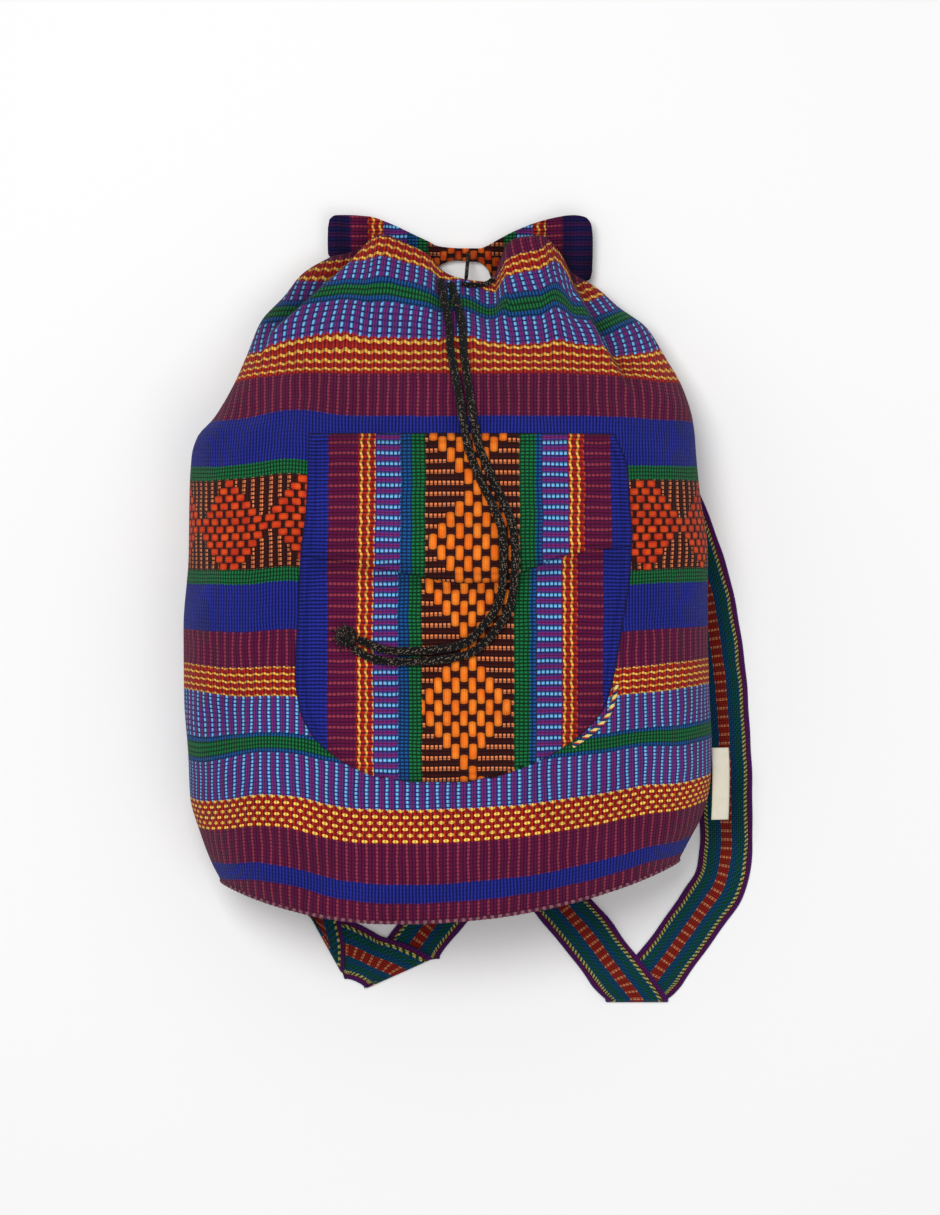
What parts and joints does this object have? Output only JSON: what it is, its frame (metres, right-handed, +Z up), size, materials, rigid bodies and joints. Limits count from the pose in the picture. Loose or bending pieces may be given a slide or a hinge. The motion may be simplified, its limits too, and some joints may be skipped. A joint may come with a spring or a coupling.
{
  "type": "drawstring backpack",
  "caption": "Hand-woven striped cotton drawstring backpack lying on its back, drawn shut, with a round-bottomed front pocket, webbing shoulder straps and a braided cord.",
  "frame": {"origin": "on the floor, under the middle of the flat part of the bag's back, halfway between the base and the mouth", "axes": "+X to the right as one looks down on the front, +Y from the base to the mouth, +Z up from the floor through the front"},
  "size_m": [0.3596, 0.5022, 0.1642],
  "materials": {
    "body_cloth": "heavy ribbed hand-woven cotton, striped",
    "base_cloth": "heavy ribbed hand-woven cotton",
    "flap_cloth": "heavy ribbed hand-woven cotton, striped",
    "pocket_cloth": "hand-woven cotton with raised brocade",
    "edging": "twisted yarn edging",
    "webbing": "narrow striped woven band",
    "label": "plain satin ribbon",
    "cord": "round braided cord, flecked"
  },
  "bodies": {
    "root": {"bag_body": "body_cloth", "base_panel": "base_cloth", "mouth_flap": "flap_cloth", "pocket_pouch": "pocket_cloth", "pocket_flap": "pocket_cloth", "pocket_edging": "edging", "strap_left": "webbing", "strap_right": "webbing", "side_label": "label", "drawstring_a": "cord", "drawstring_b": "cord", "drawstring_knot": "cord", "drawstring_gather": "cord", "mouth_tie": "cord"}
  },
  "joints": []
}
